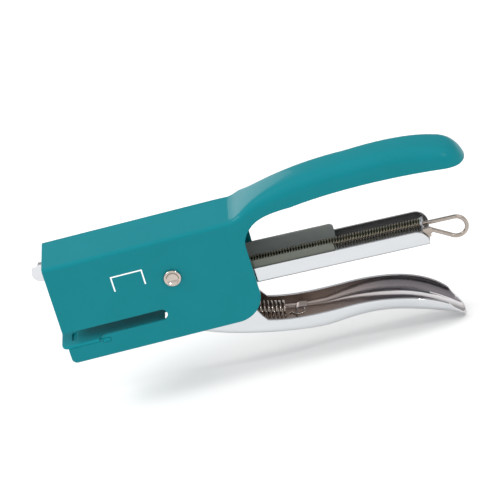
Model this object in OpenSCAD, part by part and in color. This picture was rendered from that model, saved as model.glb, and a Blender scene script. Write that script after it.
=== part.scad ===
// Plier stapler: a folded steel body with its upper handle and anvil jaw, a crossing lower
// lever on one main rivet, and a tilting magazine between them.
// Working frame of the modules: x = 0 at the front edge of the body's walls and grows towards the
// handles, z = 0 on the body's flat top, y = 0 on the plane of symmetry. place() moves the whole
// model so that the origin lies under the middle of its box.

/* [Staples] */
// Crown width of the staples, which sets the width of everything around them
staple_w = 13; // [10.5:0.1:16]
// Leg length of the staples
staple_h = 6; // [5:0.1:7.5]
// Thickness of the staple wire's crown
staple_t = 0.5; // [0.4:0.05:0.7]

/* [Body] */
// Length of the body's walls, from the jaw to the grip
body_l = 71.4; // [59:0.1:86]
// Height of the body's walls
body_h = 39.2; // [38:0.1:48]
// Thickness of the painted body sheet
body_sheet = 1; // [0.8:0.05:1.2]
// Radius of the body's lower rear corner
body_corner_r = 10; // [5:0.5:12]
// Radius of the jaw's lower front corner
jaw_corner_r = 2; // [1:0.5:4]

/* [Throat] */
// Depth of the paper throat, from the front edge to its round end
throat_d = 37.9; // [30:0.1:38.5]
// Height of the paper throat
throat_h = 4.2; // [4.1:0.1:5]
// Distance from the body's top down to the throat's upper edge
throat_top = 26.8; // [26.6:0.1:28]

/* [Upper handle] */
// Length of the upper handle behind the body's walls
handle_l = 82; // [68:0.5:99]
// Width of the upper handle
handle_w = 16.5; // [14:0.5:18]
// Height that the handle's back rises above the body's top
handle_rise = 9; // [5:0.1:10]
// Drop of the handle's round end below the body's top
handle_drop = 2.8; // [1:0.1:4]

/* [Anvil] */
// Length of the anvil plate behind the front edge
anvil_l = 12; // [10:0.1:14]
// How far the anvil plate stands out in front of the walls
anvil_front = 1.7; // [0.5:0.1:2.5]
// Thickness of the anvil plate
anvil_t = 1.1; // [0.9:0.05:1.3]
// Distance from the body's top down to the anvil's face
anvil_top = 32; // [31.9:0.1:33]
// Length of each staple-forming pocket
pocket_l = 5.6; // [4:0.1:5.9]
// Width of each staple-forming pocket
pocket_w = 1.9; // [1.4:0.1:2.2]
// Depth of each staple-forming pocket
pocket_d = 0.6; // [0.3:0.05:0.7]

/* [Main pivot] */
// Distance of the main rivet behind the front edge
pivot_x = 43.5; // [41:0.1:46]
// Distance of the main rivet below the body's top
pivot_drop = 15.3; // [14.5:0.1:15.6]
// Radius of the main rivet's shank
rivet_r = 2; // [1.6:0.05:2.4]
// Radius of the main rivet's heads
rivet_head_r = 3.15; // [2.8:0.05:3.8]
// Height of the main rivet's heads
rivet_head_h = 1.2; // [0.6:0.05:1.5]

/* [Lower lever] */
// Thickness of the lever's sheet
lever_sheet = 1; // [0.8:0.05:1.2]
// Length of the lever's trough behind the body's walls
lever_l = 66.6; // [56:0.1:80]
// Depth of the tail's tip below the body's top
tail_drop = 63.5; // [58:0.5:72]
// Depth of the trough's belly below the body's lower edge
belly_drop = 11.6; // [10:0.1:13]
// Radius of the nose that drives the blade
nose_r = 3.4; // [3:0.1:3.8]
// Distance of the nose's centre in front of the front edge
nose_out = 1.8; // [1.2:0.1:2.4]
// Distance of the nose's centre below the body's top
nose_drop = 6; // [5.6:0.1:6.6]

/* [Magazine] */
// Length of the magazine's channel behind the body's walls
channel_rear = 62.6; // [52:0.1:72]
// Length of the liner behind the body's walls
liner_rear = 29.6; // [22:0.1:34]
// Thickness of the channel's sheet
channel_sheet = 0.7; // [0.5:0.05:0.9]
// Thickness of the liner's sheet
liner_sheet = 0.6; // [0.4:0.05:0.7]
// Height of the channel's walls
channel_h = 6; // [5:0.1:7]
// Distance from the main pivot down to the channel's underside
channel_drop = 11.2; // [11:0.05:11.4]
// Resting tilt of the magazine, rear end down, in degrees
mag_tilt = 1.8; // [1:0.1:2.2]
// Thickness of the driver blade
blade_t = 0.6; // [0.4:0.05:0.7]
// Thickness of the front guide plate
guide_t = 0.7; // [0.5:0.05:0.8]

/* [Pusher and rod] */
// Radius of the guide rod's wire
rod_r = 0.75; // [0.6:0.05:0.9]
// Outer radius of the pusher spring
push_spring_r = 2.3; // [1.9:0.05:2.4]
// Thickness of the pusher spring's wire
push_wire = 0.6; // [0.4:0.05:0.7]
// Radius of the pull loop's bend, to the middle of the wire
loop_r = 3.8; // [3.4:0.1:5]
// Length of the pusher
pusher_l = 12; // [10:0.5:14]

/* [Return spring] */
// Outer radius of the return spring
return_r = 3.3; // [2.6:0.1:3.4]
// Thickness of the return spring's wire
return_wire = 0.9; // [0.7:0.05:1]
// Radius of the spring's anchor pin
anchor_r = 1.5; // [1.2:0.1:1.7]

/* [Clearances] */
// Side gap between sheets that move past each other
side_gap = 0.3; // [0.25:0.05:0.5]
// Radial clearance of a part that turns on a pin
pin_gap = 0.05; // [0.02:0.01:0.1]
// Gap on each side of the driver blade
blade_gap = 0.2; // [0.15:0.05:0.3]
// Gap between the staples and the liner's walls, each side
staple_gap = 0.25; // [0.2:0.05:0.4]
// Radial clearance of a pin pressed into the body's walls
press_gap = 0.02; // [0.01:0.01:0.04]

/* [Hidden] */
$fn = 48;

// Half widths, from the staples outwards
liner_in = staple_w / 2 + staple_gap;
liner_out = liner_in + liner_sheet;
channel_out = liner_out + channel_sheet;
lever_in = channel_out + side_gap;
lever_out = lever_in + lever_sheet;
body_in = lever_out + side_gap;
body_out = body_in + body_sheet;
handle_out = min(handle_w / 2, body_out - 1);
rail_out = staple_w / 2 - staple_t - 0.15;
rail_in = rail_out - liner_sheet;

// Heights of the body and its jaw
body_bottom = -body_h;
throat_floor = -throat_top - throat_h;
anvil_face = -anvil_top;
anvil_seat = anvil_face - anvil_t;
throat_r = throat_h / 2;
ear_x = anvil_l + 1.2;
ear_l = 2.8;
ear_h = 1.5;
ear_top = anvil_face - 0.3;
ear_proud = 0.2;
tongue_end = throat_d - 2;
handle_end = body_l + handle_l;
crease_x = body_l - 2.4;

// Magazine levels, measured from the main pivot in the magazine's own level frame
floor_z = -channel_drop + channel_sheet;
liner_floor = floor_z + liner_sheet;
rail_floor = liner_floor + liner_sheet;
rail_top = liner_floor + staple_h - staple_t;
liner_top = rail_top + staple_t + 1.6;
channel_top = -channel_drop + channel_h;
rod_z = rail_floor + 0.5 + push_spring_r;
guide_x = 0.2 - pivot_x;
blade_x = guide_x + guide_t + blade_gap;
rail_x = blade_x + blade_t + blade_gap;
channel_end = body_l + channel_rear - pivot_x;
liner_end = body_l + liner_rear - pivot_x;
rail_end = body_l - 4 - pivot_x;
end_plate_t = 0.8;
end_plate_x = channel_end - 2.4;
pusher_x = rail_x + 0.2;
web_t = 1.2;
web_x = pusher_x + pusher_l - web_t - 1.4;
head_t = 0.8;
rod_out = 1.4;
rivet_places = [-20, 14];
mag_rivet_r = 1.2;

// Pull loop: the wire turns back beside itself and its tail is tucked into the end plate
loop_turn = 220;
loop_x = channel_end + 9.6;
loop_foot = [loop_x + loop_r * sin(loop_turn), 0, rod_z - loop_r + loop_r * cos(loop_turn)];
tail_start = [channel_end - 0.6, -1.7, rod_z - 1.1];
tail_end = [end_plate_x + 0.2, -2, rod_z - 1.9];

// Driver blade: its foot clears the staple's crown when the stapler is open
blade_out = staple_w / 2 - 0.1;
blade_foot = rail_top + staple_t + 0.3;
nose_half = lever_sheet + 0.1;
neck_half = 1.7;
window_gap = 0.4;
nose_level = pivot_drop - nose_drop;
nose_arm = pivot_x + nose_out;
nose_z = nose_level * cos(mag_tilt) - nose_arm * sin(mag_tilt);
window_z = nose_z;
blade_head = window_z + neck_half + window_gap + 1.6;

// Return spring: from the anchor pin in the jaw to the tab in the trough
anchor_x = pivot_x - 3.5;
anchor_z = body_bottom + 4.3;
tab_x = body_l + 9.6;
tab_z = body_bottom - 6.2;
ring_r = anchor_r + return_wire;
spring_len = norm([tab_x - anchor_x, tab_z - anchor_z]);
spring_slope = atan2(anchor_z - tab_z, tab_x - anchor_x);

// The model's box: the nose in front, the handle's end behind, the tail's tip below
front_x = -nose_out - nose_r;
box_mid = (front_x + handle_end) / 2;

module place() {
    translate([-box_mid, 0, tail_drop]) children();
}

// The magazine's own frame: level, with its origin on the main pivot
module in_magazine() {
    place() translate([pivot_x, 0, -pivot_drop]) rotate([0, mag_tilt, 0]) children();
}

// Points of a cubic curve from a to d, pulled towards b and c
function curve(a, b, c, d, n) = [for (i = [0:n]) let (t = i / n, u = 1 - t)
    u * u * u * a + 3 * u * u * t * b + 3 * u * t * t * c + t * t * t * d];

// Points of an arc about c, from angle a0 to a1
function arc(c, r, a0, a1, n) = [for (i = [0:n]) let (a = a0 + (a1 - a0) * i / n)
    c + r * [cos(a), sin(a)]];

function moved(points, by) = [for (p = points) p + by];
function turned(points) = [for (i = [len(points) - 1:-1:0]) points[i]];
function across(points) = [for (p = points) [p[0], -p[1]]];

// A side view outline, drawn in x and z, made into a solid of the given half width
module side_solid(points, half) {
    rotate([90, 0, 0]) linear_extrude(2 * half, center = true) polygon(points);
}

// A plan view outline, drawn in x and y, made tall enough to cut any side view
module plan_solid(points) {
    translate([0, 0, -150]) linear_extrude(300) polygon(points);
}

// A block given by its lowest and highest corners
module block(low, high) {
    translate(low) cube(high - low);
}

// A round bar across the stapler, centred on y = 0
module cross_bar(x, z, r, length) {
    translate([x, 0, z]) rotate([90, 0, 0]) cylinder(length, r, r, center = true);
}

// A spread rivet head, flat at z = 0, with a rounded rim and a shallow dish
module dished_head(r, h) {
    rim = h * 0.45;
    dish = r - 2 * rim + 0.25;
    rotate_extrude() polygon(concat([[0, 0], [r - 0.2, 0]],
        arc([r - rim, h - rim], rim, 0, 110, 7),
        curve([dish, h - 0.1], [dish * 0.8, h * 0.3], [dish * 0.4, h * 0.15], [0, h * 0.15], 7)));
}

// A straight stretch of round wire from p to q
module wire(p, q, r) {
    way = q - p;
    translate(p) rotate([0, acos(way[2] / norm(way)), atan2(way[1], way[0])])
        cylinder(norm(way), r, r, $fn = 24);
}

// A wound spring along +Z, drawn as its sleeve of close rounded ribs
module ribbed_sleeve(outer, wire, pitch, length) {
    turns = floor(length / pitch);
    ribs = [for (i = [0:turns - 1]) each [[outer - wire * 0.35, i * pitch],
                                          [outer, (i + 0.35) * pitch],
                                          [outer, (i + 0.65) * pitch]]];
    rotate_extrude($fn = 24) polygon(concat(ribs,
        [[outer - wire * 0.35, turns * pitch], [outer - wire, turns * pitch], [outer - wire, 0]]));
}

// Back line of the upper handle, from the crease to the round end
function handle_back() = concat(
    curve([crease_x, 0], [crease_x + 9, handle_rise * 0.53], [crease_x + 21, handle_rise * 1.05],
          [crease_x + 44, handle_rise], 12),
    curve([crease_x + 44, handle_rise], [handle_end - 25.4, handle_rise + 1],
          [handle_end - 5.4, handle_rise], [handle_end, -handle_drop], 18));

// Lower rim of the upper handle, from its round end to the body's rear edge
function handle_rim() = concat(
    curve([handle_end - 2.4, -handle_drop + 0.2], [handle_end - 23.4, 0.8],
          [body_l + 34.6, 0.9], [body_l + 19.1, -1.3], 12),
    curve([body_l + 19.1, -1.3], [body_l + 6.6, -1.6], [body_l + 0.2, -4], [body_l, -11.5], 10));

// Plan outline of the body and handle, at a given inset
function body_plan(inset, front, end) = let (
        side = body_out - inset,
        grip = handle_out - inset,
        half = concat([[front, side]],
            curve([body_l, side], [body_l + 4, side], [body_l + 3, grip], [body_l + 11, grip], 10),
            arc([end - grip, 0], grip, 90, 0, 14)))
    concat(half, turned(across(half)));

// Folded sheet: upper handle, walls and lower jaw in one piece
module body_shell() {
    jaw_front = 0.4;
    outline = concat([[0, 0]], handle_back(), handle_rim(),
        arc([body_l - body_corner_r, body_bottom + body_corner_r], body_corner_r, 0, -90, 10),
        arc([jaw_front + jaw_corner_r, body_bottom + jaw_corner_r], jaw_corner_r, -90, -180, 6),
        [[jaw_front, anvil_seat], [anvil_l, anvil_seat],
         [anvil_l + 2, throat_floor]],
        arc([throat_d - throat_r, -throat_top - throat_r], throat_r, -90, 90, 12),
        [[0, -throat_top]]);
    hollow = concat([[-10, -body_sheet]], moved(handle_back(), [-0.3, -body_sheet]),
        [[handle_end, -100], [-10, -100]]);
    place() color("#11808a") difference() {
        intersection() {
            side_solid(outline, 20);
            plan_solid(body_plan(0, -10, handle_end));
        }
        intersection() {
            side_solid(hollow, 20);
            plan_solid(body_plan(body_sheet, -20, handle_end - body_sheet));
        }
        cross_bar(pivot_x, -pivot_drop, rivet_r + press_gap, 60);
        block([ear_x - press_gap, -20, ear_top - ear_h - press_gap],
              [ear_x + ear_l + press_gap, 20, ear_top + press_gap]);
    }
}

// Anvil plate: two blind pockets that curl the staple's legs, a tongue that runs back under
// the throat between the jaw's walls, and a staked ear through each wall
module anvil_plate() {
    corner = 2.5;
    pocket_x = 3;
    pocket_y = staple_w / 2 + 0.9 - pocket_l / 2;
    place() color("#178c94") difference() {
        union() {
            block([-anvil_front + corner, -body_out, anvil_seat], [anvil_l, body_out, anvil_face]);
            block([-anvil_front, corner - body_out, anvil_seat],
                  [anvil_l - 1, body_out - corner, anvil_face]);
            for (side = [-1, 1]) translate([corner - anvil_front, side * (body_out - corner), anvil_seat])
                cylinder(anvil_t, corner, corner);
            block([anvil_l - 1, press_gap - body_in, anvil_seat],
                  [tongue_end, body_in - press_gap, anvil_face]);
            block([ear_x, -body_out - ear_proud, ear_top - ear_h],
                  [ear_x + ear_l, body_out + ear_proud, ear_top]);
        }
        for (side = [-1, 1]) translate([pocket_x, side * pocket_y, anvil_face - pocket_d]) {
            span = pocket_l - pocket_w;
            block([-pocket_w / 2, -span / 2, 0], [pocket_w / 2, span / 2, 5]);
            for (end = [-1, 1]) translate([0, end * span / 2, 0]) cylinder(5, pocket_w / 2, pocket_w / 2);
        }
    }
}

// Main rivet through the body, the lever and the magazine
module pivot_rivet() {
    place() color("#cfc4b6") union() {
        cross_bar(pivot_x, -pivot_drop, rivet_r, 2 * body_out);
        for (side = [-1, 1]) translate([pivot_x, side * body_out, -pivot_drop])
            rotate([-side * 90, 0, 0]) dished_head(rivet_head_r, rivet_head_h);
    }
}

// Spacer bush on the main rivet, between the liner's ears
module pivot_bush() {
    place() color("#8d8f92") difference() {
        cross_bar(pivot_x, -pivot_drop, rivet_r + 0.9, 2 * liner_in - 0.2);
        cross_bar(pivot_x, -pivot_drop, rivet_r + pin_gap, 60);
    }
}

// Cross pin welded between the jaw's walls, which holds the return spring's front ring
module spring_anchor_pin() {
    place() color("#11808a") cross_bar(anchor_x, anchor_z, anchor_r, 2 * body_in);
}

// Extension spring that opens the lever: front ring, close coils and rear ring
module return_spring() {
    wire_r = return_wire / 2;
    coil_from = ring_r + 2;
    coil_to = spring_len - 5;
    place() color("#c9bfb2") union() {
        translate([anchor_x, 0, anchor_z]) {
            rotate([90, 0, 0]) rotate_extrude($fn = 32) translate([ring_r, 0]) circle(wire_r, $fn = 16);
            rotate([0, 90 + spring_slope, 0]) {
                translate([0, 0, coil_from]) ribbed_sleeve(return_r, return_wire, 1.4, coil_to - coil_from);
                for (end = [ring_r, coil_to - 1]) translate([0, 0, end])
                    cylinder(3.2, wire_r, wire_r, $fn = 16);
                for (end = [coil_from, coil_to - 1]) translate([0, 0, end])
                    cylinder(0.8, return_r - wire_r, return_r - wire_r, $fn = 24);
            }
        }
        translate([tab_x - 0.3, 0, tab_z]) rotate_extrude($fn = 32)
            translate([ring_r - 0.1, 0]) circle(wire_r, $fn = 16);
    }
}

// Underside of the lever's trough, from its front edge to the tail's tip
function belly() = let (
        x0 = pivot_x + 0.5,
        x1 = body_l + 20.6,
        z1 = body_bottom - belly_drop,
        end = [body_l + lever_l, -tail_drop])
    concat(
        curve([x0, body_bottom - 2], [x0 + 14, body_bottom - 6.4], [x1 - 14, z1 + 0.8], [x1, z1], 10),
        curve([x1, z1], [x1 + 18, z1 + 1.2], [end[0] - 14, end[1] + 10.1], end, 16));

// Rim of the trough, from the body's rear edge to where the walls run out
function trough_rim() = let (
        middle = [body_l + 28.6, body_bottom - 5.3],
        end = [body_l + lever_l - 3.8, -tail_drop + 10.5])
    concat(
        curve([body_l - 0.4, body_bottom - 2.8], [body_l + 7.6, body_bottom - 5.4],
              [body_l + 18.6, body_bottom - 5.5], middle, 8),
        curve(middle, [body_l + 41.6, body_bottom - 5], [end[0] - 10.2, end[1] + 4.6], end, 10));

// Plan outline of the lever's walls: parallel, then drawn together into the nose
function lever_plan(half, nose, end) = let (
        bend_rear = 24,
        bend_front = 7,
        side = concat([[front_x - 1, nose], [bend_front, nose], [bend_rear, half]],
            arc([end - half, 0], half, 90, 0, 12)))
    concat(side, turned(across(side)));

// Crossing lever: nose, converging arms, walls around the pivot, trough and tail
module lower_lever() {
    end = body_l + lever_l;
    pivot_z = -pivot_drop;
    wall = concat(
        arc([-nose_out, -nose_drop], nose_r, 30, 330, 20),
        [[4, -nose_drop - neck_half], [24, pivot_z + 3.8], [pivot_x - 6.5, pivot_z - 8.7],
         [pivot_x - 0.9, body_bottom + 5]],
        belly(), turned(trough_rim()),
        curve([body_l - 3, body_bottom + 1.2], [body_l - 5, body_bottom + 9],
              [body_l - 10, pivot_z - 3], [pivot_x + 9, pivot_z + 5], 8),
        arc([pivot_x, pivot_z], 7.6, 40, 95, 6),
        [[pivot_x - 15, -4], [10, -3.4], [4, -nose_drop + neck_half]]);
    trough_floor = concat(belly(), turned(moved(belly(), [0, lever_sheet])));
    tab = [[tab_x, body_bottom - belly_drop + 1.2], [tab_x + 0.9, body_bottom - belly_drop + 1.1],
           [tab_x + 0.9, tab_z + 0.9],
           [tab_x + 4, tab_z + 1], [tab_x + 4, tab_z + 1.8], [tab_x, tab_z + 1.8]];
    place() color("#d9d7d8") difference() {
        union() {
            difference() {
                intersection() {
                    side_solid(wall, 20);
                    plan_solid(lever_plan(lever_out, nose_half, end));
                }
                plan_solid(concat([[9.2, 0], [24, lever_in]],
                    arc([end - lever_out, 0], lever_in, 90, -90, 24), [[24, -lever_in]]));
            }
            intersection() {
                side_solid(trough_floor, 20);
                plan_solid(lever_plan(lever_out, nose_half, end));
            }
            side_solid(tab, 1);
        }
        cross_bar(pivot_x, pivot_z, rivet_r + pin_gap, 60);
    }
}

// Chromed outer channel of the magazine
module magazine_channel() {
    front = guide_x + guide_t;
    profile = concat([[front, -channel_drop], [channel_end, -channel_drop]],
        arc([channel_end - 4.6, channel_top - 4.6], 4.6, 0, 90, 8),
        [[front, channel_top]]);
    in_magazine() color("#e3e2e4") difference() {
        side_solid(profile, channel_out);
        block([-100, -liner_out, floor_z], [200, liner_out, 20]);
        block([-100, -liner_out, -20], [rail_x, liner_out, 20]);
        for (x = rivet_places) translate([x, 0, 0]) cylinder(60, mag_rivet_r, mag_rivet_r, center = true);
    }
}

// Dark liner inside the channel, with two ears that hang it on the main rivet
module magazine_liner() {
    corner = 1.4;
    ear_r = rivet_r + 2.6;
    profile = concat([[rail_x, floor_z], [liner_end, floor_z]],
        arc([liner_end - corner, liner_top - corner], corner, 0, 90, 8),
        [[ear_r + 2, liner_top]], arc([0, 0], ear_r, 20, 160, 12),
        [[-ear_r - 2, liner_top], [rail_x, liner_top]]);
    in_magazine() color("#4a4a4c") difference() {
        side_solid(profile, liner_out);
        block([-100, -liner_in, liner_floor], [200, liner_in, 20]);
        cross_bar(0, 0, rivet_r + pin_gap, 60);
        for (x = rivet_places) translate([x, 0, 0]) cylinder(60, mag_rivet_r, mag_rivet_r, center = true);
    }
}

// Open rail that the staples straddle
module staple_rail() {
    in_magazine() color("#6a6b6e") difference() {
        block([rail_x, -rail_out, liner_floor], [rail_end, rail_out, rail_top]);
        block([-100, -rail_in, rail_floor], [200, rail_in, 20]);
        for (x = rivet_places) translate([x, 0, 0]) cylinder(60, mag_rivet_r, mag_rivet_r, center = true);
    }
}

// Plate across the magazine's front, slotted from the top for the lever's nose
module front_guide_plate() {
    slot = nose_half + 0.5;
    in_magazine() color("#cfd0d3") difference() {
        block([guide_x, -channel_out, -channel_drop], [guide_x + guide_t, channel_out, rail_top + 7]);
        block([-100, -slot, liner_top - 0.7], [100, slot, 50]);
    }
}

// Two rivets that hold the channel, the liner and the rail together
module magazine_rivets() {
    head = 0.25;
    in_magazine() color("#b9babc") for (x = rivet_places) translate([x, 0, 0]) {
        translate([0, 0, -channel_drop]) cylinder(rail_floor + channel_drop, mag_rivet_r, mag_rivet_r);
        translate([0, 0, rail_floor]) cylinder(head, mag_rivet_r + 0.6, mag_rivet_r + 0.6);
        translate([0, 0, -channel_drop - head]) cylinder(head, mag_rivet_r + 0.8, mag_rivet_r + 0.8);
    }
}

// Wire spring on the bush that presses the magazine down and away from the lever's arms
module hold_down_spring() {
    wire_r = 0.4;
    coil_r = rivet_r + 1.9;
    coil_w = 3.2;
    coil_y = liner_in - coil_w - 0.5;
    leg = 22;
    in_magazine() color("#a9a9ab") {
        translate([0, coil_y, 0]) rotate([-90, 0, 0])
            ribbed_sleeve(coil_r, 2.2 * wire_r, 2.2 * wire_r, coil_w);
        for (end = [wire_r, coil_w - wire_r]) translate([0, coil_y + end, coil_r - 1.3 * wire_r])
            rotate([0, -90, 0]) cylinder(leg, wire_r, wire_r, $fn = 16);
    }
}

// Blade that pushes the front staple out, with a window for the lever's nose
module driver_blade() {
    window = nose_half + 0.5;
    opening = neck_half + window_gap;
    in_magazine() color("#9b9da0") difference() {
        block([blade_x, -blade_out, blade_foot], [blade_x + blade_t, blade_out, blade_head]);
        block([-100, -window, window_z - opening], [100, window, window_z + opening]);
    }
}

// Guide rod with its pull loop bent at the rear end; each bend is a little fuller than the wire
module guide_rod() {
    start = web_x - rod_out;
    bend_r = rod_r + 0.05;
    in_magazine() color("#c3b8ab") {
        translate([start, 0, rod_z]) rotate([0, 90, 0]) cylinder(loop_x - start, rod_r, rod_r, $fn = 24);
        translate([loop_x, 0, rod_z - loop_r]) rotate([90, 0, 0]) rotate([0, 0, 90 - loop_turn])
            rotate_extrude(angle = loop_turn, $fn = 48) translate([loop_r, 0]) circle(rod_r, $fn = 24);
        wire(loop_foot, tail_start, rod_r);
        for (bend = [[loop_x, 0, rod_z], loop_foot, tail_start]) translate(bend) sphere(bend_r, $fn = 24);
        wire(tail_start, tail_end, rod_r);
    }
}

// Riveted head on the rod's front end, which keeps the pusher on the rod
module rod_head() {
    in_magazine() color("#c3b8ab") translate([web_x - rod_out - head_t, 0, rod_z]) rotate([0, 90, 0])
        cylinder(head_t, 1.6, 1.6, $fn = 24);
}

// Plate on the rod across the channel's rear end, with a round boss that backs the spring
module end_plate() {
    in_magazine() color("#8b8d90") difference() {
        union() {
            block([end_plate_x, side_gap - liner_out, floor_z + side_gap],
                  [end_plate_x + end_plate_t, liner_out - side_gap, rod_z - 0.6]);
            translate([end_plate_x, 0, rod_z]) rotate([0, 90, 0])
                cylinder(end_plate_t, push_spring_r, push_spring_r);
        }
        translate([0, 0, rod_z]) rotate([0, 90, 0])
            cylinder(400, rod_r + press_gap, rod_r + press_gap, center = true, $fn = 24);
        wire(tail_start, tail_end, rod_r + press_gap);
    }
}

// Small sprung catch on the end plate that snaps over the channel's near wall
module rod_latch() {
    catch_y = side_gap - liner_out;
    catch_x = end_plate_x + end_plate_t;
    catch_l = 2.6;
    catch_r = 0.6;
    in_magazine() color("#b8aea2") {
        block([catch_x, catch_y, rod_z - 2], [catch_x + catch_l, catch_y + 0.6, channel_top + 0.2]);
        translate([catch_x + catch_l, catch_y + catch_r, channel_top - 1])
            cylinder(2.4, catch_r, catch_r, center = true, $fn = 24);
    }
}

// Long compression spring between the pusher and the end plate
module pusher_spring() {
    from = web_x + web_t;
    in_magazine() color("#5b5b55") translate([from, 0, rod_z]) rotate([0, 90, 0])
        ribbed_sleeve(push_spring_r, push_wire, 1.6, end_plate_x - from);
}

// Pusher that straddles the rail and moves the staples forward
module pusher() {
    leg_in = rail_out + 0.15;
    leg_out = liner_in - 0.15;
    top = rail_top + 0.2;
    in_magazine() color("#77797c") difference() {
        union() {
            block([pusher_x, -leg_out, top], [pusher_x + pusher_l, leg_out, top + 0.6]);
            for (side = [0, 1]) mirror([0, side, 0])
                block([pusher_x, leg_in, liner_floor + 0.3], [pusher_x + pusher_l, leg_out, top + 0.6]);
            block([web_x, -rail_in + 0.3, rail_floor + 0.5], [web_x + web_t, rail_in - 0.3, top + 0.6]);
        }
        translate([0, 0, rod_z]) rotate([0, 90, 0])
            cylinder(400, rod_r + pin_gap, rod_r + pin_gap, center = true, $fn = 24);
    }
}

body_shell();
anvil_plate();
pivot_rivet();
pivot_bush();
spring_anchor_pin();
return_spring();
lower_lever();
magazine_channel();
magazine_liner();
staple_rail();
front_guide_plate();
magazine_rivets();
hold_down_spring();
driver_blade();
guide_rod();
rod_head();
end_plate();
rod_latch();
pusher_spring();
pusher();
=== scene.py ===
import math
import bmesh
import bpy
from mathutils import Matrix, Vector


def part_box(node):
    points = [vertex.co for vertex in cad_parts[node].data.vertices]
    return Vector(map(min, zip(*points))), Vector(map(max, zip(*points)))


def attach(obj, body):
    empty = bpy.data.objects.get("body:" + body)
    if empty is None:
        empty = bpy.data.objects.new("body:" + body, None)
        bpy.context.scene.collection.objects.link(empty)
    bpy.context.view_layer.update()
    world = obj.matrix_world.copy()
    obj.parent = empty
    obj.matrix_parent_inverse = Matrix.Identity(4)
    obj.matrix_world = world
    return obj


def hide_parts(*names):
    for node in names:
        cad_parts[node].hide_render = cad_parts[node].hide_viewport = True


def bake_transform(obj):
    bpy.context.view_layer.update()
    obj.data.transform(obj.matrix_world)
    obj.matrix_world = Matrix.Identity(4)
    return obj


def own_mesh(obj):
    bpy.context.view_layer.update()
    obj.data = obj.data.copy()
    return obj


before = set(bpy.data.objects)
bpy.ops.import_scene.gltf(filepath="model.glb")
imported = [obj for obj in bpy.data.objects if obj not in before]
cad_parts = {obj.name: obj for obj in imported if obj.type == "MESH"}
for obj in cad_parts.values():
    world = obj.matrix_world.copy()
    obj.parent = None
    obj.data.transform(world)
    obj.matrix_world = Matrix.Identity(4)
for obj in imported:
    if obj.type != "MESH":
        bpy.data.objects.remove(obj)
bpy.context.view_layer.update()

# Sizes are in millimetres until place() turns them into the shared frame's metres.
MM = 0.001
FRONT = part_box("body_shell")[0].x

# ---------------------------------------------------------------- sizes of the stapler
# Half widths of the sheets, from the outside inwards
BODY_OUT = 10.65
LEVER_OUT, LEVER_IN = 9.35, 8.35
CHANNEL_OUT, LINER_OUT, LINER_IN = 8.05, 7.35, 6.75
HANDLE_OUT = 8.25
BODY_L, BODY_BOTTOM = 71.4, -39.2
CREASE_X, HANDLE_END = 69.0, 153.4
HANDLE_RISE, HANDLE_DROP = 8.96, 2.2
THROAT_TOP, THROAT_FLOOR, THROAT_DEPTH = -26.8, -31.0, 37.9
ANVIL_SEAT = -33.1
PIVOT = (43.5, -15.3)
ANCHOR = (40.0, -34.9)
LEVER_END, TAIL_DROP, BELLY = 138.0, 63.5, -50.8
TAIL_ROUND, TAIL_HALF = 1.8, 5.6
# The lever's front: its arms lie together up to NOSE_X, are hollow from HOLLOW_X and fully apart at ARMS_X
NOSE_X, HOLLOW_X, ARMS_X = 7, 9.2, 24
NOSE_HALF = 1.1
# How far before the tail's end the trough starts to draw in
TAPER_L = 22
MAG_TILT = 1.8
ROD_Z = -6.5
# Rivet holes: close in the body, where the rivet is clenched, and free in what turns on it
BODY_HOLE_R, TURNING_HOLE_R = 2.02, 2.05
# Half width of a cutting outline, more than any piece's, so that it cuts right through
THROUGH = 30
FLAT_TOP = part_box("lower_lever")[0].z + TAIL_DROP * MM


def place(x, y, z):
    """A point of the stapler in the shared frame: x from the walls' front edge, z from the flat top."""
    return Vector((FRONT + x * MM, y * MM, FLAT_TOP + z * MM))


def in_magazine(x, y, z):
    """A point of the tilted magazine, measured from the main pivot."""
    tilt = math.radians(MAG_TILT)
    return place(PIVOT[0] + x * math.cos(tilt) + z * math.sin(tilt), y,
                 PIVOT[1] - x * math.sin(tilt) + z * math.cos(tilt))


# ---------------------------------------------------------------- curves and outlines
def cubic(a, b, c, d, steps):
    points = []
    for i in range(steps + 1):
        t = i / steps
        u = 1 - t
        weights = (u ** 3, 3 * u * u * t, 3 * u * t * t, t ** 3)
        points.append(tuple(sum(w * p[k] for w, p in zip(weights, (a, b, c, d))) for k in (0, 1)))
    return points


def arc(centre, radius, start, stop, steps):
    turns = [math.radians(start + (stop - start) * i / steps) for i in range(steps + 1)]
    return [(centre[0] + radius * math.cos(t), centre[1] + radius * math.sin(t)) for t in turns]


def level_at(points, x):
    """Height of an outline at x, for points that run one way along x."""
    run = sorted(points)
    for (x0, z0), (x1, z1) in zip(run, run[1:]):
        if x0 <= x <= x1:
            return z0 + (z1 - z0) * (x - x0) / max(x1 - x0, 1e-9)
    return run[0][1] if x < run[0][0] else run[-1][1]


def between(x, x0, x1, low, high):
    """Smooth change from low before x0 to high after x1."""
    t = min(max((x - x0) / (x1 - x0), 0), 1)
    return low + (high - low) * t * t * (3 - 2 * t)


# ---------------------------------------------------------------- mesh helpers
def solid_mesh(name, vertices, faces):
    """A new object from loose parts, with doubles merged and faces turned outwards."""
    mesh = bpy.data.meshes.new(name)
    mesh.from_pydata(vertices, [], faces)
    shape = bmesh.new()
    shape.from_mesh(mesh)
    bmesh.ops.remove_doubles(shape, verts=shape.verts, dist=1e-7)
    bmesh.ops.recalc_face_normals(shape, faces=shape.faces)
    shape.to_mesh(mesh)
    shape.free()
    piece = bpy.data.objects.new(name, mesh)
    bpy.context.scene.collection.objects.link(piece)
    return piece


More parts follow.
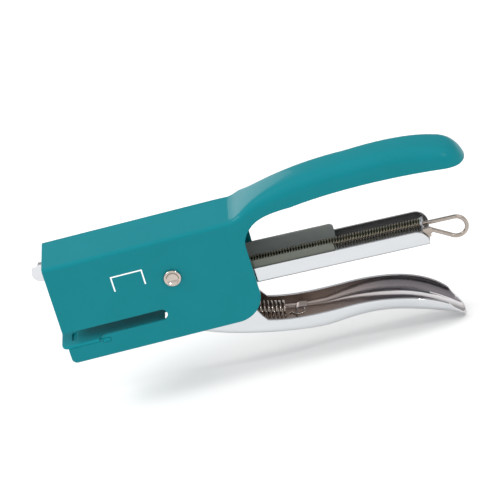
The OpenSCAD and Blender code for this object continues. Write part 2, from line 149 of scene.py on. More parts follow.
def prism(name, outline, half, where=place):
    """A side outline in x and z, made into a solid of the given half width."""
    count = len(outline)
    vertices = [where(x, side * half, z) for side in (-1, 1) for x, z in outline]
    faces = [list(range(count)), list(range(2 * count - 1, count - 1, -1))]
    faces += [[i, (i + 1) % count, count + (i + 1) % count, count + i] for i in range(count)]
    return solid_mesh(name, vertices, faces)


def block(name, low, high, where=place):
    return prism(name, [(low[0], low[2]), (high[0], low[2]), (high[0], high[2]), (low[0], high[2])],
                 (high[1] - low[1]) / 2,
                 lambda x, y, z: where(x, y + (high[1] + low[1]) / 2, z))


def cross_bar(name, centre, radius, half, where=place, sides=48):
    return prism(name, arc(centre, radius, 0, 360 - 360 / sides, sides - 1), half, where)


def folded_section(half, level, radius, open_end, crown=0.0, steps=9):
    """Points across a folded sheet: walls from open_end, two round folds, and a crowned web at level."""
    way = 1 if level > open_end else -1
    radius = min(radius, half * 0.98)
    across = 8
    folds = []
    for side in (-1, 1):
        for i in range(steps + 1):
            turn = math.radians(90 * i / steps)
            y = half - radius + radius * math.cos(turn)
            order = i if side < 0 else 2 * steps + across - i
            folds.append((order, side * y, level - way * radius * (1 - math.sin(turn))))
    flat = half - radius
    web = [(steps + i, -flat + 2 * flat * i / across, level) for i in range(1, across)]
    ring = [(y, z) for _, y, z in sorted(folds + web, key=lambda point: point[0])]
    ring = [(y, z - way * crown * (y / half) ** 2) for y, z in ring]
    return [(-half, open_end)] + ring + [(half, open_end)]


def skin(name, rings, where=place, closed_tip=False):
    """A closed solid through rings of points with equal counts; a closed tip has no end face."""
    count = len(rings[0])
    vertices = [where(*point) for ring in rings for point in ring]
    faces = [list(range(count))]
    if not closed_tip:
        faces.append(list(range(len(vertices) - 1, len(vertices) - count - 1, -1)))
    for ring in range(len(rings) - 1):
        for i in range(count):
            a, b = ring * count + i, ring * count + (i + 1) % count
            faces.append([a, b, b + count, a + count])
    return solid_mesh(name, vertices, faces)


def loft(name, stations, where=place):
    """A closed solid through sections, given as (x, section) pairs with equal point counts."""
    return skin(name, [[(x, y, z) for y, z in section] for x, section in stations], where)


def baked(piece):
    """Replaces a piece's mesh by its evaluated one and drops the modifiers."""
    seen = piece.evaluated_get(bpy.context.evaluated_depsgraph_get())
    mesh = bpy.data.meshes.new_from_object(seen)
    piece.modifiers.clear()
    piece.data = mesh
    return piece


def combine(piece, operation, *tools):
    for tool in tools:
        change = piece.modifiers.new("combine", "BOOLEAN")
        change.operation = operation
        change.solver = "EXACT"
        change.object = tool
        baked(piece)
        bpy.data.objects.remove(tool)
    return piece


def finish_edges(piece, width=0.15, segments=2, limit=40.0, merge=0.02):
    """Breaks the sharp edges as tumbling or painting does, and shades the rest smooth."""
    shape = bmesh.new()
    shape.from_mesh(piece.data)
    bmesh.ops.remove_doubles(shape, verts=shape.verts, dist=merge * MM)
    bmesh.ops.dissolve_degenerate(shape, edges=shape.edges, dist=merge * MM)
    bmesh.ops.dissolve_limit(shape, angle_limit=math.radians(0.4), verts=shape.verts,
                             edges=shape.edges, delimit={"MATERIAL"})
    bmesh.ops.recalc_face_normals(shape, faces=shape.faces)
    shape.to_mesh(piece.data)
    shape.free()
    if width:
        edge = piece.modifiers.new("edge", "BEVEL")
        edge.width = width * MM
        edge.segments = segments
        edge.limit_method = "ANGLE"
        edge.angle_limit = math.radians(limit)
        edge.use_clamp_overlap = False
        edge.miter_outer = "MITER_ARC"
    baked(piece)
    piece.data.shade_smooth()
    piece.data.set_sharp_from_angle(angle=math.radians(38))
    piece.modifiers.new("even shading", "WEIGHTED_NORMAL").keep_sharp = True
    return baked(piece)


def copy_of(node, name):
    """A copy of a frame node's mesh, for a piece that keeps its shape but gets real edges."""
    piece = bpy.data.objects.new(name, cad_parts[node].data.copy())
    piece.data.materials.clear()
    bpy.context.scene.collection.objects.link(piece)
    return piece


# ---------------------------------------------------------------- materials
def linear(code):
    """An sRGB hex colour as linear light."""
    parts = [int(code[i:i + 2], 16) / 255 for i in (0, 2, 4)]
    return tuple(p / 12.92 if p <= 0.04045 else ((p + 0.055) / 1.055) ** 2.4 for p in parts) + (1.0,)


def add(tree, kind, inputs=None, **settings):
    """Adds one node with its settings; an input's value is a number, a colour or another node's socket."""
    made = tree.nodes.new(kind)
    for key, value in settings.items():
        setattr(made, key, value)
    for key, value in (inputs or {}).items():
        socket = made.inputs[key]
        if isinstance(value, bpy.types.NodeSocket):
            tree.links.new(value, socket)
        else:
            socket.default_value = value
    return made


def per_mm(size):
    """Noise scale whose features are about the given size in millimetres."""
    return 1.0 / (size * MM)


def surface(name, dark, light, rough, metallic, patch, grain, grain_depth, stretch=(1, 1, 1), along=None,
            **shader):
    """A finish: two close colours in soft patches, a roughness that varies, and a fine grain.

    With along, a pair of places in x, the finish changes from the first to the second instead; here that
    gradient is painted shade."""
    material = bpy.data.materials.new(name)
    material.use_nodes = True
    tree = material.node_tree
    tree.nodes.clear()
    where = add(tree, "ShaderNodeTexCoord").outputs["Object"]
    drawn = add(tree, "ShaderNodeMapping", {"Vector": where, "Scale": stretch}).outputs[0]
    patches = add(tree, "ShaderNodeTexNoise",
                  {"Vector": drawn, "Scale": per_mm(patch), "Detail": 3.0}).outputs[0]
    fine = add(tree, "ShaderNodeTexNoise",
               {"Vector": drawn, "Scale": per_mm(grain), "Detail": 2.0}).outputs[0]
    if along:
        at_x = add(tree, "ShaderNodeSeparateXYZ", {"Vector": where}).outputs["X"]
        spread = add(tree, "ShaderNodeMapRange",
                     {0: at_x, 1: along[0], 2: along[1], 3: -0.25, 4: 0.75}).outputs[0]
        patches = add(tree, "ShaderNodeMath", {0: patches, 1: 0.5, 2: spread},
                      operation="MULTIPLY_ADD", use_clamp=True).outputs[0]
    colour = add(tree, "ShaderNodeMix", {0: patches, 6: linear(dark), 7: linear(light)},
                 data_type="RGBA").outputs[2]
    rough_at = add(tree, "ShaderNodeMapRange", {0: patches, 3: rough[0], 4: rough[1]}).outputs[0]
    bump = add(tree, "ShaderNodeBump",
               {"Strength": 1.0, "Distance": grain_depth * MM, "Height": fine}).outputs[0]
    inputs = {"Base Color": colour, "Roughness": rough_at, "Normal": bump, "Metallic": metallic}
    inputs.update(shader)
    shade = add(tree, "ShaderNodeBsdfPrincipled", inputs).outputs[0]
    add(tree, "ShaderNodeOutputMaterial", {"Surface": shade})
    return material


# Baked teal enamel on steel sheet: an even, slightly wavy finish with a weak, thin gloss over it
enamel = surface("teal_enamel", "02727A", "037881", (0.26, 0.34), 0.0, 14.0, 1.6, 0.004,
                 **{"IOR": 1.5, "Specular IOR Level": 0.06, "Coat Weight": 0.15, "Coat Roughness": 0.06})
# The anvil plate is painted with the body; its paler colour is painted light for its lit up-facing top, and
# it is duller
painted_light_enamel = surface("painted_light_enamel", "05767F", "0C8089", (0.36, 0.48), 0.0, 3.0, 0.5, 0.004,
                        **{"IOR": 1.5, "Specular IOR Level": 0.08})
# Chrome over polished nickel: a near mirror with the sheet's faint rolling waves along it
chrome = surface("chrome_plate", "C4C6C9", "D4D6D9", (0.07, 0.15), 1.0, 9.0, 3.0, 0.003, (0.25, 1, 1))
# Inside the trough the plating is thin, so the brownish nickel shows and it is duller; its darkening towards
# the front under the body and lightening towards the tail are painted shade and painted reflection
plating_with_painted_shade = surface("plating_with_painted_shade", "A3968F", "C9C6C7", (0.34, 0.12), 1.0, 12.0, 2.0, 0.004, (0.2, 1, 1),
                       along=(0.008, 0.045))
# On the trough's steep inner walls the plating is painted darker, painted shade for the dark reflections in
# the walls: brown in front, slate grey at the tail
walls_painted_shade = surface("walls_painted_shade", "A3968F", "69666A", (0.3, 0.2), 1.0, 12.0, 2.0, 0.004, (0.2, 1, 1),
                         along=(0.012, 0.04))
# Blackened spring steel sheet of the liner: dark grey, oily, with a long soft sheen
blackened = surface("blackened_steel", "4E534B", "666A62", (0.2, 0.32), 0.35, 6.0, 1.2, 0.003, (0.2, 1, 1))
# The same sheet on its inside, made a brighter grey: partly rubbing by staples and pusher, partly painted
# light for the bright reflection on the inner walls
rubbed_painted_light_steel = surface("rubbed_painted_light_steel", "9BA29E", "B9BDBA", (0.16, 0.3), 0.4, 5.0, 0.8, 0.003, (0.15, 1, 1))
# Inside of the chromed channel: only flash plated, so it is a duller mirror; its darker colour is painted
# shade for the dark inside of the channel
channel_painted_shade = surface("channel_painted_shade", "767575", "8E8D8D", (0.16, 0.28), 1.0, 7.0, 1.6, 0.003, (0.2, 1, 1))
# Zinc plated small parts: light grey with a fine crystal grain
zinc = surface("zinc_plate", "9EA0A3", "B6B7B8", (0.25, 0.4), 1.0, 2.0, 0.4, 0.004)
# Nickel plated rivet brass: warm silver, polished by the spinning tool
nickel = surface("spun_nickel", "A99D94", "CBC1B9", (0.1, 0.2), 1.0, 2.0, 0.4, 0.003)
# Drawn wire with a thin nickel flash: pinkish beige grey with faint draw lines
drawn_wire = surface("drawn_nickel_wire", "8F857D", "B8ADA4", (0.12, 0.22), 1.0, 1.5, 0.3, 0.003)
# Oil blackened music wire of the long spring: olive grey with dull yellowish glints
music_wire = surface("oiled_music_wire", "5A564A", "7A7563", (0.25, 0.4), 1.0, 1.5, 0.3, 0.003)
# Screen printed white ink: matt and slightly uneven
ink = surface("white_ink", "E6EFEE", "F6FAFA", (0.5, 0.65), 0.0, 1.0, 0.2, 0.002, **{"IOR": 1.48})
# Pale paper sweep that the stapler stands on
sweep = surface("paper_sweep", "F1F1F0", "F5F5F4", (0.8, 0.9), 0.0, 90.0, 2.0, 0.01)


def dress(piece, body, slot, *materials):
    """Gives a finished piece its materials and its body; slot is not used."""
    piece.data.materials.clear()
    for material in materials:
        piece.data.materials.append(material)
    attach(piece, body)
    return piece


def share_out(piece, pick):
    """Gives each face the piece's material whose number pick(centre, normal) returns."""
    for face in piece.data.polygons:
        face.material_index = int(pick(face.center, face.normal))


def on_inside(centre, normal, half):
    """True for a face within the half width that looks towards the middle."""
    return abs(centre.y) < half and centre.y * normal.y < -1e-6


# ---------------------------------------------------------------- body and upper handle
def handle_back():
    """The handle's back, from the crease over its highest point to the tip."""
    top = (CREASE_X + 44, HANDLE_RISE)
    rise = cubic((CREASE_X, 0), (CREASE_X + 9, HANDLE_RISE * 0.53), (CREASE_X + 21, HANDLE_RISE * 1.03),
                 top, 24)
    fall = cubic(top, (HANDLE_END - 25.4, HANDLE_RISE + 1), (HANDLE_END - 5.4, HANDLE_RISE),
                 (HANDLE_END + 0.8, 0.2), 40)
    return rise + fall[1:]


def handle_rim():
    """The handle's lower edge, from the tip forward and down into the body's rear edge."""
    root = (BODY_L + 19.1, -1.3)
    grip = cubic((HANDLE_END - 2.4, -HANDLE_DROP), (HANDLE_END - 23.4, 0.8), (BODY_L + 34.6, 0.9), root, 30)
    turn_down = cubic(root, (BODY_L + 6.6, -1.6), (BODY_L + 0.2, -4), (BODY_L, -11.5), 26)
    return grip + turn_down[1:]


def plan_edge(front):
    """Half of the body's plan outline, from the front to the handle's tip."""
    points = [(x, BODY_OUT) for x in (front, 12, 30, 50, 62, 66, 67.4, 68.2, 68.7, 69.1, 69.6, 70.4)]
    points += cubic((BODY_L, BODY_OUT), (BODY_L + 4, BODY_OUT), (BODY_L + 3, HANDLE_OUT),
                    (BODY_L + 11, HANDLE_OUT), 14)
    centre = HANDLE_END - HANDLE_OUT
    points += [(x, HANDLE_OUT) for x in range(85, int(centre), 3)]
    full, steps = 0.9, 20
    for i in range(steps + 1):
        turn = math.radians(90 * i / steps)
        points.append((centre + HANDLE_OUT * math.sin(turn) ** full,
                       HANDLE_OUT * max(math.cos(turn), 0) ** full))
    return points


def make_body():
    back = [(-40, 0), (CREASE_X - 0.9, 0)] + [p for p in handle_back() if p[0] > CREASE_X + 0.4]
    folds, across = 8, 6

    def shell(inset, front):
        edge = plan_edge(front)
        rings = []
        for i, (x, y) in enumerate(edge):
            before, after = edge[max(i - 1, 0)], edge[min(i + 1, len(edge) - 1)]
            way = Vector((after[0] - before[0], after[1] - before[1])).normalized()
            if i == len(edge) - 1:
                way = Vector((0, -1))
            inward = Vector((way.y, -way.x))
            radius = between(x, 62, 92, 1.6, 4.6) - inset * 0.8
            crown = between(x, 64, 100, 0.0, 0.5)
            side = []
            for k in range(folds + 1):
                turn = math.radians(90 * k / folds)
                off = inset + radius * (1 - math.cos(turn))
                px, py = x + inward.x * off, max(y + inward.y * off, 0)
                level = level_at(back, px) - inset - radius * (1 - math.sin(turn))
                side.append((px, py, level - crown * (py / HANDLE_OUT) ** 2))
            px, py, level = side[-1]
            web = [(px, py * (1 - 2 * m / across), level + crown * (py / HANDLE_OUT) ** 2
                    * (1 - (1 - 2 * m / across) ** 2)) for m in range(1, across)]
            foot = (side[0][0], side[0][1], -90)
            far = [(a, -b, c) for a, b, c in reversed([foot] + side)]
            rings.append([foot] + side + web + far)
        return skin("shell", rings, place, closed_tip=True)

    corner = 10
    jaw_front, jaw_r = 0.4, 2.0
    outline = [(0, 30), (HANDLE_END + 5, 30), (HANDLE_END + 5, -HANDLE_DROP)] + handle_rim()
    outline += arc((BODY_L - corner, BODY_BOTTOM + corner), corner, 0, -90, 20)
    outline += arc((jaw_front + jaw_r, BODY_BOTTOM + jaw_r), jaw_r, -90, -180, 10)
    outline += [(jaw_front, ANVIL_SEAT), (12.0, ANVIL_SEAT), (14.0, THROAT_FLOOR)]
    throat_r = (THROAT_TOP - THROAT_FLOOR) / 2
    outline += arc((THROAT_DEPTH - throat_r, THROAT_TOP - throat_r), throat_r, -90, 90, 20)
    outline += [(0, THROAT_TOP)]
    body = shell(0.0, 0.0)
    combine(body, "DIFFERENCE", shell(1.0, -5.0))
    combine(body, "INTERSECT", prism("outline", outline, THROUGH))
    ear_slot = block("ear_slot", (13.18, -THROUGH, -33.82), (16.02, THROUGH, -32.28))
    combine(body, "DIFFERENCE", cross_bar("hole", PIVOT, BODY_HOLE_R, THROUGH), ear_slot)
    body.name = "painted_body"
    finish_edges(body, 0.22, 3)
    dress(body, "frame", "teal_paint", enamel)
    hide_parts("body_shell")


make_body()

# ---------------------------------------------------------------- lower lever
def belly():
    """Underside of the lever's trough along its middle, from under the pivot to the tail."""
    low, tail = (BODY_L + 20.6, BELLY), (LEVER_END, -TAIL_DROP)
    front = cubic((43.0, BODY_BOTTOM + 1), (54.0, BODY_BOTTOM - 6.0), (low[0] - 15, BELLY + 0.8), low, 24)
    rear = cubic(low, (low[0] + 18, BELLY + 1.2), (tail[0] - 14, tail[1] + 10.1), tail, 34)
    return front + rear[1:]


def trough_rim():
    """Rim of the trough from the body's rear edge, then down the tongue's edge to the tail."""
    middle, end = (BODY_L + 28.6, BODY_BOTTOM - 5.3), (LEVER_END - 4.2, -TAIL_DROP + 8.5)
    front = cubic((BODY_L - 0.4, BODY_BOTTOM - 2.8), (BODY_L + 7.6, BODY_BOTTOM - 5.4),
                  (BODY_L + 18.6, BODY_BOTTOM - 5.5), middle, 20)
    rear = cubic(middle, (BODY_L + 43.6, BODY_BOTTOM - 5.2), (end[0] - 5.8, end[1] + 6.4), end, 26)
    tongue = cubic(end, (end[0] + 0.6, end[1] - 2.6), (end[0] + 3.0, end[1] - 4.2),
                   (end[0] + 4.4, end[1] - 8.0), 14)
    return front + rear[1:] + tongue[1:]


def tail_taper():
    """Half width along the trough where its walls draw in towards the tail."""
    return cubic((LEVER_END - TAPER_L, LEVER_OUT), (LEVER_END - 15, LEVER_OUT - 0.05),
                 (LEVER_END - 8, LEVER_OUT - 1.15), (LEVER_END - TAIL_ROUND, TAIL_HALF), 16)


def lever_half(x, inset):
    """Half width of the lever's sheet at x: drawn together in front, and in again at the tail."""
    if x > LEVER_END - TAPER_L:
        return level_at(tail_taper(), x) - inset
    arms = (ARMS_X, LEVER_OUT - inset)
    if inset:
        return level_at([(-30, 0.02), (HOLLOW_X, 0.02), arms], x)
    return level_at([(-30, NOSE_HALF), (NOSE_X, NOSE_HALF), arms], x)


def tail_plan():
    """Plan outline that rounds the very end of the lever's sheet."""
    start, half, steps = LEVER_END - TAIL_ROUND, TAIL_HALF + 0.03, 14
    near = [(-20, LEVER_OUT + 1), (start - 0.5, LEVER_OUT + 1), (start - 0.4, half)]
    for i in range(steps):
        turn = math.radians(90 * i / steps)
        near.append((start + TAIL_ROUND * math.sin(turn), half * math.cos(turn)))
    far = [(x, -y) for x, y in reversed(near)]
    return near + [(start + TAIL_ROUND, 0.0)] + far


def lever_trough(inset, x_from, x_to):
    """The lever's sheet as a folded solid, or the hollow in it when there is an inset."""
    under, belly_x, fold_end = belly(), 43, 116
    xs = [x_from, NOSE_X, HOLLOW_X, 12, 16, 20, ARMS_X, 30, belly_x - 0.1, belly_x]
    xs += [46 + 3 * i for i in range(28)] + [129 + 1.5 * i for i in range(6)] + [x_to]
    stations = []
    for x in sorted(set(round(x, 4) for x in xs if x_from <= x <= x_to)):
        level = level_at(under, x) + inset if x >= belly_x else -90 + inset
        fold = between(x, 84, fold_end, 2.6, 6.4) - inset * 0.9
        stations.append((x, folded_section(lever_half(x, inset), level, fold, 20)))
    return loft("trough", stations)


def lever_side():
    """Side outline of the lever: round nose, arms over the pivot, and the trough under its rim."""
    px, pz = PIVOT
    wall_front, below = 43.7, -80
    nose = arc((-1.8, -6.0), 3.4, 30, 330, 40)
    under_arms = [(4, -7.7), (24, pz + 3.8), (px - 6.5, pz - 8.7), (px - 0.9, BODY_BOTTOM + 5),
                  (wall_front, BODY_BOTTOM + 2)]
    around = [(wall_front, below), (LEVER_END + 2, below), (LEVER_END + 2, -TAIL_DROP + 0.4)]
    back_up = cubic((BODY_L - 3, BODY_BOTTOM + 1.2), (BODY_L - 5, BODY_BOTTOM + 9), (BODY_L - 10, pz - 3),
                    (px + 9, pz + 5), 20)
    over_pivot = arc(PIVOT, 7.6, 40, 95, 12)
    top = [(px - 15, -4), (10, -3.4), (4, -4.3)]
    return nose + under_arms + around + list(reversed(trough_rim())) + back_up + over_pivot + top


def spring_tab():
    """Side outline of the tab that is lanced from the floor and curled back to hold the spring."""
    curl = (82.2, -45.6)
    outside = [(80.2, -48.9), (81.0, -45.6)] + arc(curl, 1.2, 180, 80, 6)
    return outside + [(84.6, -44.9), (84.8, -44.0)] + arc(curl, 2.0, 80, 170, 6) + [(79.4, -48.9)]


def make_lever():
    lever = lever_trough(0.0, -8.0, LEVER_END + 0.5)
    combine(lever, "DIFFERENCE", lever_trough(1.0, HOLLOW_X, LEVER_END + 1.0))
    plan = prism("plan", tail_plan(), 200, lambda x, y, z: place(x, z, y))
    combine(lever, "INTERSECT", prism("wall", lever_side(), THROUGH), plan)
    combine(lever, "DIFFERENCE", cross_bar("hole", PIVOT, TURNING_HOLE_R, THROUGH))
    combine(lever, "UNION", prism("tab", spring_tab(), 1.7))
    lever.name = "plated_lever"
    finish_edges(lever, 0.18, 3)
    dress(lever, "lever", "chrome_plate", chrome, plating_with_painted_shade, walls_painted_shade)
    inner, trough_front = LEVER_IN * MM + 2e-5, FRONT + 30 * MM

    # Inward faces behind the trough's front: the floor gets the brownish plating whose gradient is painted
    # shade, the steep walls the darker painted shade
    def plating(centre, normal):
        inward = on_inside(centre, normal, inner) or abs(centre.y) < inner and normal.z > 0.3
        if not inward or centre.x <= trough_front:
            return 0
        return 2 if abs(normal.y) > 0.55 else 1

    share_out(lever, plating)
    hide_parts("lower_lever")


make_lever()

# ---------------------------------------------------------------- magazine
def make_magazine():
    bottom, floor = -11.2, -10.5
    channel_end, channel_top, rail_x = 90.5, -5.2, -41.6
    liner_end, liner_top = 57.5, -2.3
    front = -42.6

    def folded(name, half, sheet, low, fold, outline, x_to):
        stations = [(x, folded_section(half, low, fold, 30)) for x in (-60, x_to + 10)]
        piece = loft(name, stations, in_magazine)
        inner_fold = max(fold - sheet, 0.2)
        hollow = [(x, folded_section(half - sheet, low + sheet, inner_fold, 40)) for x in (-70, x_to + 20)]
        combine(piece, "DIFFERENCE", loft("hollow", hollow, in_magazine))
        return combine(piece, "INTERSECT", prism("side", outline, THROUGH, in_magazine))

    outline = [(front, bottom - 3), (channel_end, bottom - 3)]
    outline += arc((channel_end - 4.6, channel_top - 4.6), 4.6, 0, 90, 16) + [(front, channel_top)]
    channel = folded("chromed_channel", CHANNEL_OUT, 0.7, bottom, 1.3, outline, channel_end)
    front_gap = block("front_gap", (-100, -LINER_OUT, -30), (rail_x, LINER_OUT, 20), in_magazine)
    combine(channel, "DIFFERENCE", front_gap)
    finish_edges(channel, 0.14, 3)
    dress(channel, "magazine", "chrome_plate", chrome, channel_painted_shade)
    # Inward faces take the darker inside material, which is painted shade
    share_out(channel, lambda centre, normal: on_inside(centre, normal, (LINER_OUT + 0.05) * MM))
    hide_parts("magazine_channel")

    ear = 4.6
    outline = [(rail_x, floor - 3), (liner_end, floor - 3)]
    outline += arc((liner_end - 1.4, liner_top - 1.4), 1.4, 0, 90, 12)
    outline += [(ear + 2, liner_top)] + arc((0, 0), ear, 20, 160, 24)
    outline += [(-ear - 2, liner_top), (rail_x, liner_top)]
    liner = folded("blackened_liner", LINER_OUT, 0.6, floor, 1.0, outline, liner_end)
    combine(liner, "DIFFERENCE", cross_bar("hole", (0, 0), TURNING_HOLE_R, THROUGH, in_magazine))
    finish_edges(liner, 0.12, 3)
    dress(liner, "magazine", "dark_liner", blackened, rubbed_painted_light_steel)
    inner = (LINER_IN + 0.05) * MM
    # Inward faces and the floor's top take the brighter inside grey, partly painted light
    share_out(liner, lambda centre, normal: on_inside(centre, normal, inner) or
              abs(centre.y) < inner and normal.z > 0.3)
    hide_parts("magazine_liner")


make_magazine()

# ---------------------------------------------------------------- small sheet parts and pins
small_parts = {
    # The anvil plate's paler enamel is painted light for its lit top
    "anvil_plate": ("frame", "teal_paint", painted_light_enamel, 0.2),
    "spring_anchor_pin": ("frame", "teal_paint", enamel, 0.2),
    "pivot_rivet": ("frame", "nickel_rivet", nickel, 0.0),
    "pivot_bush": ("frame", "bright_steel", zinc, 0.12),
    "staple_rail": ("magazine", "bright_steel", zinc, 0.1),
    "front_guide_plate": ("magazine", "chrome_plate", chrome, 0.12),
    "magazine_rivets": ("magazine", "bright_steel", zinc, 0.06),
    "hold_down_spring": ("magazine", "spring_wire", drawn_wire, 0.0),
    "driver_blade": ("driver", "bright_steel", zinc, 0.08),
    "rod_head": ("rod", "nickel_wire", drawn_wire, 0.15),
    "end_plate": ("rod", "bright_steel", zinc, 0.12),
    "rod_latch": ("rod", "nickel_wire", drawn_wire, 0.2),
    "pusher": ("follower", "bright_steel", zinc, 0.1),
}
for node, (body, slot, material, edge) in small_parts.items():
    part = copy_of(node, node + "_finished")
    finish_edges(part, edge)
    dress(part, body, slot, material)
    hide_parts(node)

# ---------------------------------------------------------------- wire parts
def wire_tree(material):
    """Geometry nodes that sweep a round wire along the object's own path."""
    tree = bpy.data.node_groups.new("wire_along_path", "GeometryNodeTree")
    tree.interface.new_socket("Geometry", in_out="INPUT", socket_type="NodeSocketGeometry")
    tree.interface.new_socket("Wire radius", in_out="INPUT", socket_type="NodeSocketFloat")
    tree.interface.new_socket("Sides", in_out="INPUT", socket_type="NodeSocketInt")
    tree.interface.new_socket("Geometry", in_out="OUTPUT", socket_type="NodeSocketGeometry")
    given = add(tree, "NodeGroupInput").outputs
    path = add(tree, "GeometryNodeMeshToCurve", {"Mesh": given["Geometry"]}).outputs[0]
    round_wire = add(tree, "GeometryNodeCurvePrimitiveCircle",
                     {"Radius": given["Wire radius"], "Resolution": given["Sides"]}).outputs[0]
    swept = add(tree, "GeometryNodeCurveToMesh",
                {"Curve": path, "Profile Curve": round_wire, "Fill Caps": True}).outputs[0]
    smooth = add(tree, "GeometryNodeSetShadeSmooth", {"Geometry": swept}).outputs[0]
    real = add(tree, "GeometryNodeRealizeInstances", {"Geometry": smooth}).outputs[0]
    coated = add(tree, "GeometryNodeSetMaterial", {"Geometry": real, "Material": material}).outputs[0]
    add(tree, "NodeGroupOutput", {"Geometry": coated})
    return tree


def coil_tree(material):
    """Geometry nodes that wind a round wire into a helix along +Z."""
    tree = bpy.data.node_groups.new("wound_wire", "GeometryNodeTree")
    tree.interface.new_socket("Geometry", in_out="INPUT", socket_type="NodeSocketGeometry")
    for label, kind in (("Turns", "Float"), ("Coil radius", "Float"), ("Length", "Float"),
                        ("Wire radius", "Float"),
                        ("Steps per turn", "Int"), ("Sides", "Int")):
        tree.interface.new_socket(label, in_out="INPUT", socket_type="NodeSocket" + kind)
    tree.interface.new_socket("Geometry", in_out="OUTPUT", socket_type="NodeSocketGeometry")
    given = add(tree, "NodeGroupInput").outputs
    helix = add(tree, "GeometryNodeCurveSpiral",
                {"Resolution": given["Steps per turn"], "Rotations": given["Turns"],
                 "Start Radius": given["Coil radius"], "End Radius": given["Coil radius"],
                 "Height": given["Length"]}).outputs[0]
    round_wire = add(tree, "GeometryNodeCurvePrimitiveCircle",
                     {"Radius": given["Wire radius"], "Resolution": given["Sides"]}).outputs[0]
    swept = add(tree, "GeometryNodeCurveToMesh",
                {"Curve": helix, "Profile Curve": round_wire, "Fill Caps": True}).outputs[0]
    smooth = add(tree, "GeometryNodeSetShadeSmooth", {"Geometry": swept}).outputs[0]
    real = add(tree, "GeometryNodeRealizeInstances", {"Geometry": smooth}).outputs[0]
    coated = add(tree, "GeometryNodeSetMaterial", {"Geometry": real, "Material": material}).outputs[0]
    add(tree, "NodeGroupOutput", {"Geometry": coated})
    return tree


def grown(piece, tree, **values):
    """Runs a node tree on a piece with the given inputs and keeps the result as a plain mesh."""
    grow = piece.modifiers.new("grow", "NODES")
    grow.node_group = tree
    sockets = {item.name: item.identifier for item in tree.interface.items_tree if item.in_out == "INPUT"}
    for label, value in values.items():
        grow[sockets[label.replace("_", " ")]] = value
    baked(piece)
    return piece


def path_piece(name, points, where=place):
    mesh = bpy.data.meshes.new(name)
    mesh.from_pydata([where(*p) for p in points], [(i, i + 1) for i in range(len(points) - 1)], [])
    piece = bpy.data.objects.new(name, mesh)
    bpy.context.scene.collection.objects.link(piece)
    return piece


def outward(piece):
    shape = bmesh.new()
    shape.from_mesh(piece.data)
    bmesh.ops.recalc_face_normals(shape, faces=shape.faces)
    shape.to_mesh(piece.data)
    shape.free()
    return piece


def wound(name, start, end, turns, coil_r, wire_r, material, steps, sides):
    """A helix of wire from start to end, both in metres."""
    axis = end - start
    helix = path_piece(name, [(0, 0, 0), (0, 0, 1)])
    grown(helix, coil_tree(material), Turns=float(turns), Coil_radius=coil_r * MM, Length=axis.length,
          Wire_radius=wire_r * MM, Steps_per_turn=steps, Sides=sides)
    turn = Vector((0, 0, 1)).rotation_difference(axis).to_matrix().to_4x4()
    helix.data.transform(Matrix.Translation(start) @ turn)
    return outward(helix)


def make_guide_rod():
    """The rod, its loop bent in one turn, and the tail that is tucked into the end plate."""
    rod_r, loop_r = 0.75, 3.8
    start, loop_x, turn = -33.4, 100.1, 220
    path = [(start + (loop_x - start) * i / 40, 0, ROD_Z) for i in range(40)]
    path += [(x, 0, z) for x, z in arc((loop_x, ROD_Z - loop_r), loop_r, 90, 90 - turn, 48)]
    foot, elbow, tail = Vector(path[-1]), Vector((89.9, -1.7, -7.6)), Vector((86.2, -3.0, -9.2))
    path += [tuple(foot.lerp(elbow, i / 10)) for i in range(1, 10)]
    before, after = foot.lerp(elbow, 0.9), elbow.lerp(tail, 0.3)
    for i in range(1, 7):
        t = i / 7
        path.append(tuple(before.lerp(elbow, t).lerp(elbow.lerp(after, t), t)))
    path += [tuple(after), tuple(tail)]
    rod = path_piece("looped_guide_rod", path, in_magazine)
    grown(rod, wire_tree(drawn_wire), Wire_radius=rod_r * MM, Sides=20)
    outward(rod)
    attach(rod, "rod")
    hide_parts("guide_rod")


make_guide_rod()


def make_pusher_spring():
    start, end = in_magazine(-30.9, 0, ROD_Z), in_magazine(88.05, 0, ROD_Z)
    spring = wound("wound_pusher_spring", start, end, 118, 1.97, 0.3, music_wire, 20, 8)
    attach(spring, "rod")
    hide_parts("pusher_spring")
    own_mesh(spring)


make_pusher_spring()


def make_return_spring():
    """One wire: a ring on the anchor pin, the close coils, and a ring hooked over the lever's tab."""
    wire_r, coil_r, pitch = 0.4, 2.85, 1.42
    anchor, tab = Vector((ANCHOR[0], 0, ANCHOR[1])), Vector((81.0, 0, -45.4))
    along = (tab - anchor).normalized()
    upward = Vector((-along.z, 0, along.x))
    points = [(anchor.x + x, 0, anchor.z + z) for x, z in arc((0, 0), 2.0, 20, 340, 28)]
    first, last, steps = 4.4, (tab - anchor).length - 4.2, 24
    turns = round((last - first) / pitch)
    for i in range(turns * steps + 1):
        turn = 2 * math.pi * i / steps + math.pi
        spot = anchor + along * (first + (last - first) * i / (turns * steps)) + \
            upward * coil_r * math.cos(turn) + Vector((0, -coil_r, 0)) * math.sin(turn)
        points.append(tuple(spot))
    ring_r, level = 2.2, -46.3
    points += [(tab.x + 0.3 + x, y, level) for x, y in arc((0, 0), ring_r, 180, 490, 30)]
    spring = path_piece("wound_return_spring", points)
    grown(spring, wire_tree(drawn_wire), Wire_radius=wire_r * MM, Sides=10)
    outward(spring)
    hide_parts("return_spring")
    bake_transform(spring)


make_return_spring()

# ---------------------------------------------------------------- printed staple sign
def make_print():
    """A plain staple outline in white ink on the near wall."""
    left, right, top, foot, line = 22.4, 34.0, -9.2, -15.2, 0.5
    outline = [(left, foot), (left + line, foot), (left + line, top - line), (right - line, top - line),
               (right - line, foot), (right, foot), (right, top), (left, top)]
    sign = prism("printed_staple_sign", outline, 0.02, lambda x, y, z: place(x, y - BODY_OUT - 0.015, z))
    dress(sign, "frame", "teal_paint", ink)


make_print()

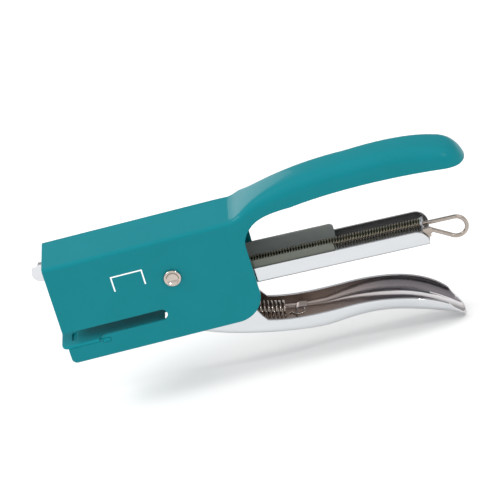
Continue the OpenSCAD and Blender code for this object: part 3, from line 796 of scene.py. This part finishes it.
# ---------------------------------------------------------------- floor, light and camera
def make_stage():
    size = 12.0
    corners = [(-size, -size, 0), (size, -size, 0), (size, size, 0), (-size, size, 0)]
    floor = solid_mesh("floor", corners, [[0, 1, 2, 3]])
    floor.data.materials.append(sweep)
    world = bpy.data.worlds.new("soft_room")
    bpy.context.scene.world = world
    world.use_nodes = True
    tree = world.node_tree
    tree.nodes.clear()
    direction = add(tree, "ShaderNodeTexCoord").outputs["Generated"]
    parts = add(tree, "ShaderNodeSeparateXYZ", {"Vector": direction}).outputs
    overhead = add(tree, "ShaderNodeMapRange", {0: parts["Z"], 1: 0.4, 2: 0.9, 3: 0.0, 4: 0.4}).outputs[0]
    rear_dim = add(tree, "ShaderNodeMapRange", {0: parts["Y"], 1: 0.1, 2: 0.8, 3: 1.0, 4: 0.45}).outputs[0]
    room = add(tree, "ShaderNodeMath", {0: overhead, 1: rear_dim}, operation="ADD").outputs[0]
    glow = add(tree, "ShaderNodeBackground", {"Color": linear("FCFCFD"), "Strength": room}).outputs[0]
    add(tree, "ShaderNodeOutputWorld", {"Surface": glow})
    lamps = (("key", (-1.1, -0.1, 1.3), 0.8, 11.0), ("rear", (-0.9, 1.75, 0.5), 0.9, 4.5),
             ("spark", (0.9, -0.7, 0.9), 0.05, 3.0))
    for name, position, width, power in lamps:
        lamp = bpy.data.lights.new(name, "AREA")
        lamp.size = width
        lamp.energy = power
        light = bpy.data.objects.new(name, lamp)
        light.location = position
        light.rotation_mode = "QUATERNION"
        light.rotation_quaternion = (Vector((0, 0, 0.04)) - Vector(position)).to_track_quat("-Z", "Y")
        bpy.context.scene.collection.objects.link(light)
    bpy.context.scene.view_settings.view_transform = "Standard"


make_stage()


def make_camera():
    azimuth, elevation, roll = (math.radians(a) for a in (7.536, 27.791, -17.716))
    distance, lens = 2.5, 512.6
    back = Vector((math.sin(azimuth) * math.cos(elevation), -math.cos(azimuth) * math.cos(elevation),
                   math.sin(elevation)))
    level = Vector((0, 0, 1)).cross(back).normalized()
    upward = back.cross(level)
    right = level * math.cos(roll) + upward * math.sin(roll)
    up = upward * math.cos(roll) - level * math.sin(roll)
    aim = Vector((0, 0, 0.047625)) - right * 2.267 * MM - up * 2.487 * MM
    camera = bpy.data.objects.new("camera", bpy.data.cameras.new("camera"))
    camera.data.lens = lens
    camera.data.sensor_width = 36
    camera.data.clip_end = 50
    camera.matrix_world = Matrix.Translation(aim + back * distance) @ \
        Matrix((right, up, back)).transposed().to_4x4()
    bpy.context.scene.collection.objects.link(camera)
    bpy.context.scene.camera = camera


make_camera()
